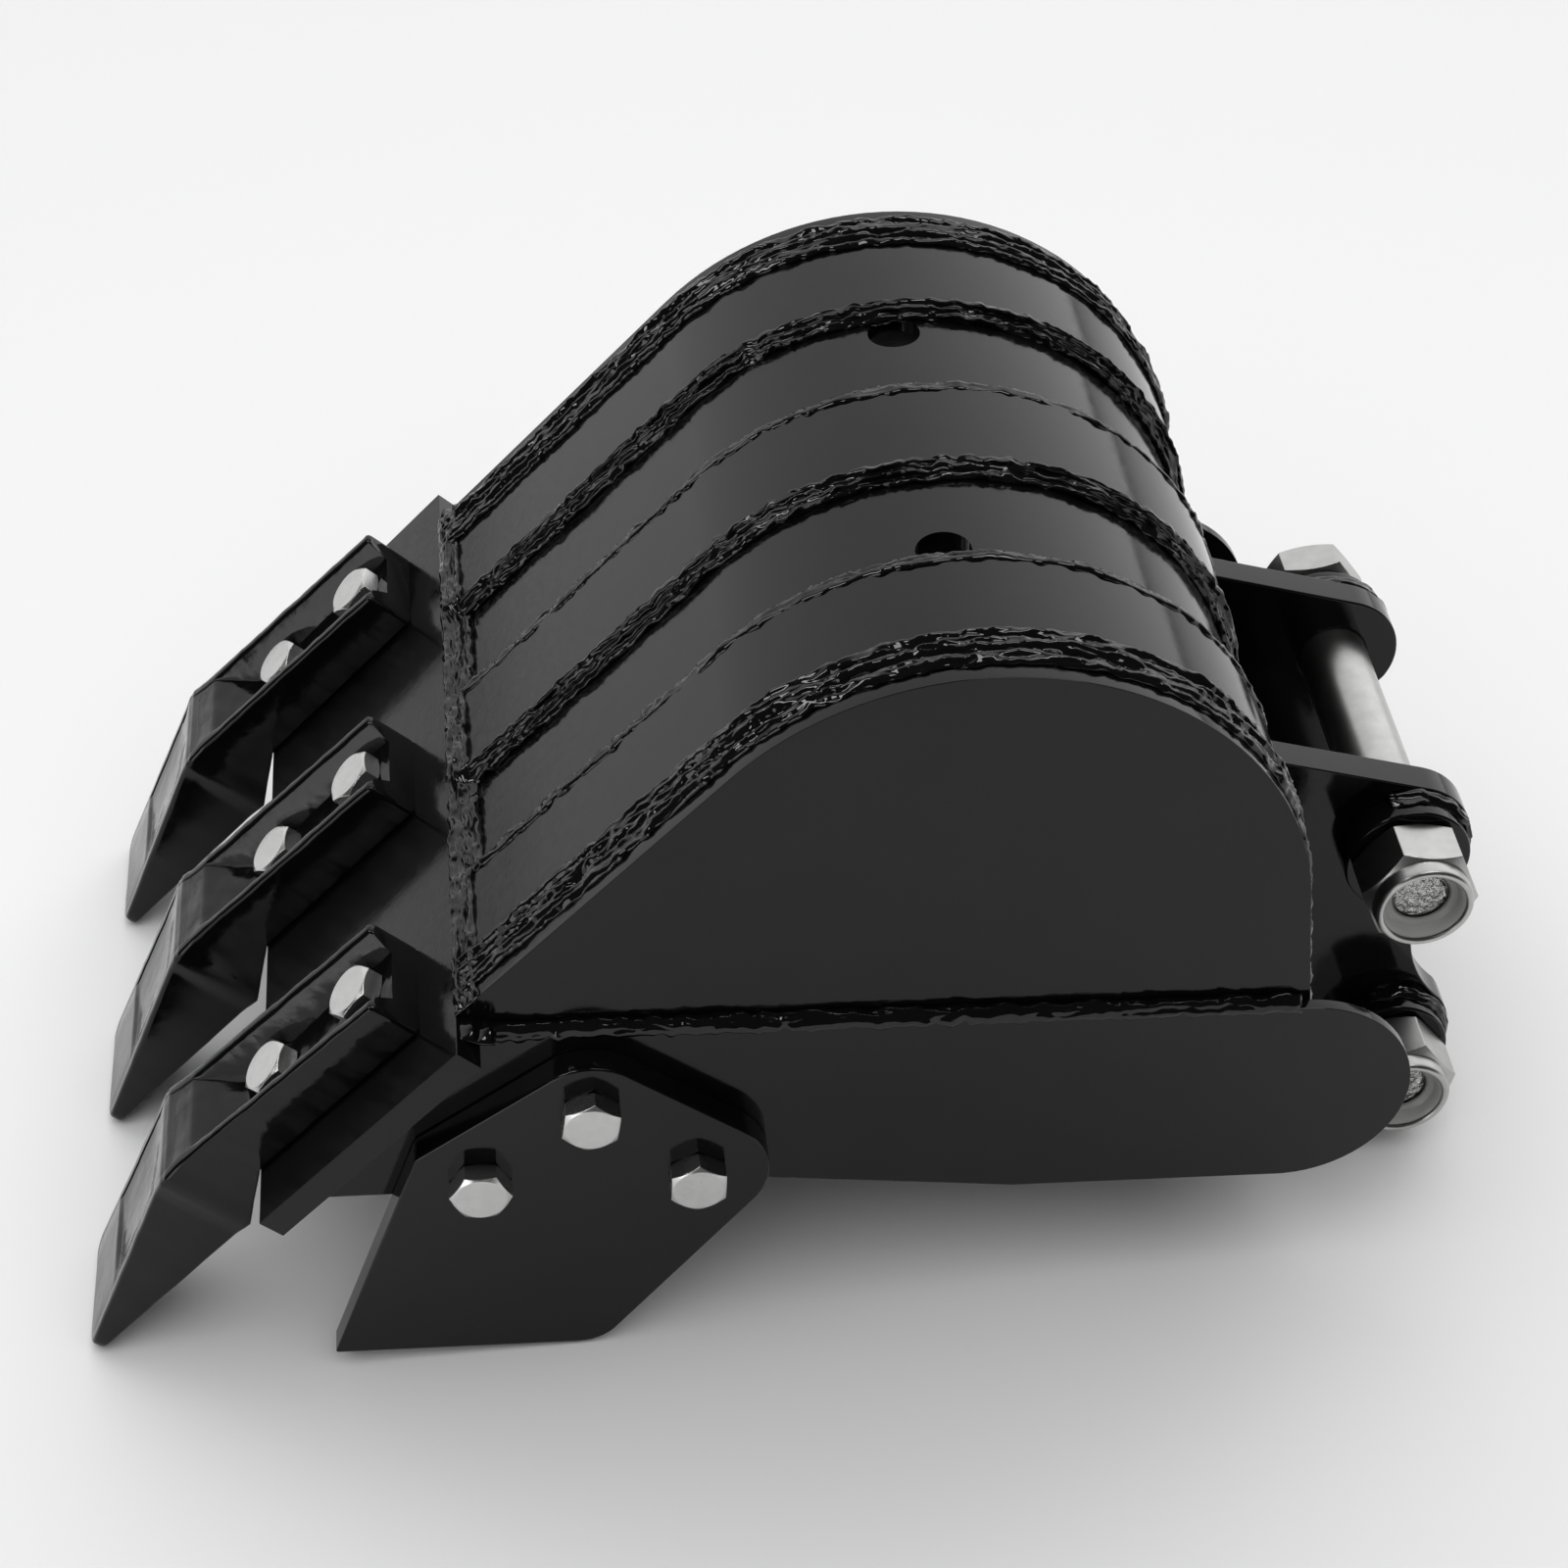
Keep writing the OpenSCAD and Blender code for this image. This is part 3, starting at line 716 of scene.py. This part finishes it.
def m12_bolt(bm, at, grip):
    """A bolt whose head sits on at's origin and whose shank runs down its Z through the grip."""
    hexed(bm, at, M12_AF, 0.0, M12_HEAD, 8.9, 8.55)
    end = -grip - M12_NUT - M12_TAIL
    lathe(bm, at, [(0, 0.4), (M12_R - 0.4, 0.4), (M12_R, 0.0), (M12_R, end + 1.0),
                   (M12_R - 1.0, end), (0, end)], 40)


def m12_nut(bm, at):
    """A nut whose top face is at at's origin."""
    hexed(bm, at, M12_AF, -M12_NUT, 0.0, 8.5, 8.5, bore=M12_R)


def fasteners(name, node, bm):
    """The node's bolts or nuts, all in one mesh, in its place."""
    ob = new_piece(name, bm, ZINC)
    flat_shading(ob.data, limit=FASTENER_LIMIT)
    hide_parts(node)


TOOTH_TURN = ((12, 20, 5), (14, 30, 24))  # how far each head ended up turned, in degrees
bolts, nuts = bmesh.new(), bmesh.new()
for row, s in enumerate(TOOTH_BOLT_S):
    for k in range(3):
        y = (k - 1) * TOOTH_PITCH
        m12_bolt(bolts, axes(lip_pt(s, y, POCKET_H), lip_x, lip_up, TOOTH_TURN[row][k]),
                 POCKET_H + LIP_T)
        m12_nut(nuts, axes(lip_pt(s, y, -LIP_T), lip_x, lip_up, 20 * k + 11 * row))
fasteners("tooth_bolt_set", "tooth_bolts", bolts)
fasteners("tooth_nut_set", "tooth_nuts", nuts)

CUTTER_TURN = (0, 36, 30)
bolts, nuts = bmesh.new(), bmesh.new()
face = SIDE_OUT + BAR_T + CUTTER_T
for s in (-1, 1):
    out = side_dir(0, s, 0)
    for (x, z), turn in zip(CUTTER_BOLTS, CUTTER_TURN):
        m12_bolt(bolts, axes(side_pt(x, s * face, z), side_x, out, s * turn), face - SIDE_IN)
        m12_nut(nuts, axes(side_pt(x, s * SIDE_IN, z), side_x, out, 14 * s))
fasteners("cutter_bolt_set", "cutter_bolts", bolts)
fasteners("cutter_nut_set", "cutter_nuts", nuts)


PIN_AF, PIN_HEAD, PIN_TAIL = 36.0, 15.0, 16.8
END_R = 9.2
END_RINGS, END_STEPS = 16, 56
BORE_R = 12.05


def hinge_pin(pin, c, turn):
    """The pin's hex bolt, with the rough end that its thread was sheared off at."""
    body = pin + "_pin_set"
    at = axes(side_pt(c[0], 0, c[1]), side_x, side_dir(0, 1, 0))
    tail = NUT_Y - PIN_TAIL
    bm = bmesh.new()
    hexed(bm, at @ Matrix.Rotation(math.radians(turn), 4, "Z"), PIN_AF, HEAD_Y,
          HEAD_Y + PIN_HEAD, 17.4, 16.9)
    lathe(bm, at, [(0, HEAD_Y + 0.5), (PIN_R - 0.5, HEAD_Y + 0.5), (PIN_R, HEAD_Y),
                   (PIN_R, NUT_Y + 0.6), (THREAD_R, NUT_Y), (THREAD_R, tail + 2.8),
                   (11.6, tail + 2.3), (9.6, tail + 0.2), (9.3, tail), (0, tail)], 96)
    ob = new_piece(pin + "_pin_bolt", bm, PIN_ZINC, body)
    flat_shading(ob.data, limit=FASTENER_LIMIT)
    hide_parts(pin + "_pin")
    bm = bmesh.new()
    rows = [[polar(bm, at, 0, 0, tail - 0.25)]]
    for i in range(1, END_RINGS + 1):
        row = []
        for j in range(END_STEPS):
            a, r = 2 * math.pi * j / END_STEPS, END_R * i / END_RINGS
            p = Vector((r * math.cos(a), r * math.sin(a), 0))
            d = 0.45 * noise.noise(p / 1.6 + Vector((0, 0, 7))) + 0.3 * noise.noise(p / 0.7)
            d = (0.35 + d) * (1 - (i / END_RINGS) ** 4)
            row.append(polar(bm, at, r, a, tail - max(-0.05, d)))
        rows.append(row)
    rows.append([polar(bm, at, 0, 0, tail + 1.0)])
    for lo, hi in zip(rows, rows[1:]):
        band(bm, lo, hi)
    new_piece(pin + "_pin_end", bm, RAW_END, body)


def lock_nut(pin, c, turn):
    """The pin's lock nut, with the collar that holds its nylon ring."""
    body = pin + "_pin_set"
    at = axes(side_pt(c[0], NUT_Y, c[1]), side_x, side_dir(0, -1, 0))
    bm = bmesh.new()
    hexed(bm, at @ Matrix.Rotation(math.radians(turn), 4, "Z"), PIN_AF, 0.0, 18.5, 17.4, 17.15,
          bore=BORE_R)
    ring_of(bm, at, [(BORE_R, 17.9), (17.15, 17.9), (17.1, 19.2), (17.0, 22.4), (16.7, 23.3),
                     (16.1, 23.9), (15.4, 24.0), (14.7, 23.8), (14.3, 23.3), (14.6, 22.7),
                     (15.0, 22.3), (15.0, 18.6), (BORE_R, 18.6)])
    ob = new_piece(pin + "_lock_nut", bm, PIN_ZINC, body)
    flat_shading(ob.data, limit=FASTENER_LIMIT)
    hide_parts(pin + "_pin_nut")
    bm = bmesh.new()
    ring_of(bm, at, [(9.7, 17.2), (14.9, 18.7), (14.9, 22.2), (14.4, 22.7), (13.9, 22.4),
                     (13.1, 21.2), (12.5, 19.6), (12.1, 18.5), (10.9, 17.9)])
    ob = new_piece(pin + "_nylon_insert", bm, NYLON, body)
    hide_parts(pin + "_pin_nylon")


for pin, c, head_turn, nut_turn in (("stick", STICK_C, -10, -4), ("link", LINK_C, 17, 12)):
    hinge_pin(pin, c, head_turn)
    lock_nut(pin, c, nut_turn)


# ---------------------------------------------------------------- camera, lights and floor
# the camera's place and angles in the side view frame: turned about Z, tipped up from straight
# down, then rolled about its own axis
CAMERA_AT = side_pt(-169.93, -855.5, 696.4)
CAMERA_TURN, CAMERA_TIP, CAMERA_ROLL = -8.279, 49.312, 3.819

cam = bpy.data.objects.new("camera", bpy.data.cameras.new("camera"))
cam.data.sensor_width = 36.0
cam.data.lens = 73.307
cam.data.clip_start = 0.05
cam.data.clip_end = 50.0
aim = SIDE.to_3x3()
for angle, axis in ((CAMERA_TURN, "Z"), (CAMERA_TIP, "X"), (CAMERA_ROLL, "Z")):
    aim = aim @ Matrix.Rotation(math.radians(angle), 3, axis)
cam.matrix_world = Matrix.Translation(CAMERA_AT) @ aim.to_4x4()
bpy.context.scene.collection.objects.link(cam)
bpy.context.scene.camera = cam


def plain(name, value, rough):
    """A plain grey for the floor."""
    m = bpy.data.materials.new(name)
    m.use_nodes = True
    shader = m.node_tree.nodes["Principled BSDF"]
    shader.inputs["Base Color"].default_value = (value, value, value, 1)
    shader.inputs["Roughness"].default_value = rough
    return m


FLOOR_Z = -0.001  # just under the tips of the teeth
bm = bmesh.new()
bmesh.ops.create_grid(bm, x_segments=1, y_segments=1, size=6.0)
floor = new_piece("floor", bm, plain("pale_floor", 0.84, 0.9))
floor.parent = None
floor.location.z = FLOOR_Z


def soft_light(name, at, target, size, radiance):
    """A rectangular soft box of an even radiance, facing the target."""
    data = bpy.data.lights.new(name, "AREA")
    data.shape = "RECTANGLE"
    data.size, data.size_y = size
    data.energy = radiance * math.pi * size[0] * size[1]
    ob = bpy.data.objects.new(name, data)
    ob.location = at
    ob.rotation_euler = (Vector(at) - Vector(target)).to_track_quat("Z", "Y").to_euler()
    ob.visible_camera = False
    bpy.context.scene.collection.objects.link(ob)
    return ob


# even light from above, then boxes that show only as highlights
ceiling = soft_light("fill_ceiling", (0.0, -0.3, 2.6), (0, -0.3, 0), (6.0, 6.0), 1.25)
ceiling.visible_glossy = False
for name, at, size, radiance in (("glint_left", (-0.9, -0.25, 1.5), (0.35, 0.9), 9.0),
                                 ("glint_right", (0.6, 0.05, 1.7), (0.35, 0.9), 7.0),
                                 ("left_wall", (-1.3, -1.75, 0.35), (1.3, 0.9), 2.6)):
    soft_light(name, at, (0, 0, 0.1), size, radiance).visible_diffuse = False


STUDIO_GLOOM = 0.05


def studio_world():
    """A soft studio: a bright wall behind the bucket, brighter to the right, dim in front."""
    made = bpy.data.worlds.new("studio")
    made.use_nodes = True
    nodes, links = made.node_tree.nodes, made.node_tree.links
    split = nodes.new("ShaderNodeSeparateXYZ")
    links.new(nodes.new("ShaderNodeTexCoord").outputs["Generated"], split.inputs["Vector"])

    def eased_map(axis, x0, x1, y0, y1):
        r = nodes.new("ShaderNodeMapRange")
        r.interpolation_type = "SMOOTHSTEP"
        for socket, value in zip(RANGE_SOCKETS, (x0, x1, y0, y1)):
            r.inputs[socket].default_value = value
        links.new(split.outputs[axis], r.inputs["Value"])
        return r.outputs["Result"]

    # by direction: 0 in front to 1 behind, times 0.97 on the left to 1.4 on the right
    product = nodes.new("ShaderNodeMath")
    product.operation = "MULTIPLY_ADD"
    links.new(eased_map("Y", 0.25, 0.55, 0.0, 1.0), product.inputs[0])
    links.new(eased_map("X", -0.2, 0.65, 0.97, 1.4), product.inputs[1])
    product.inputs[2].default_value = STUDIO_GLOOM
    # seen directly, the studio is plain and pale on every side
    backdrop = nodes.new("ShaderNodeMath")
    backdrop.operation = "MAXIMUM"
    links.new(product.outputs["Value"], backdrop.inputs[0])
    links.new(nodes.new("ShaderNodeLightPath").outputs["Is Camera Ray"], backdrop.inputs[1])
    links.new(backdrop.outputs["Value"], nodes["Background"].inputs["Strength"])
    nodes["Background"].inputs["Color"].default_value = (1, 1, 1, 1)
    return made


bpy.context.scene.world = studio_world()
bpy.context.scene.view_settings.view_transform = "Standard"
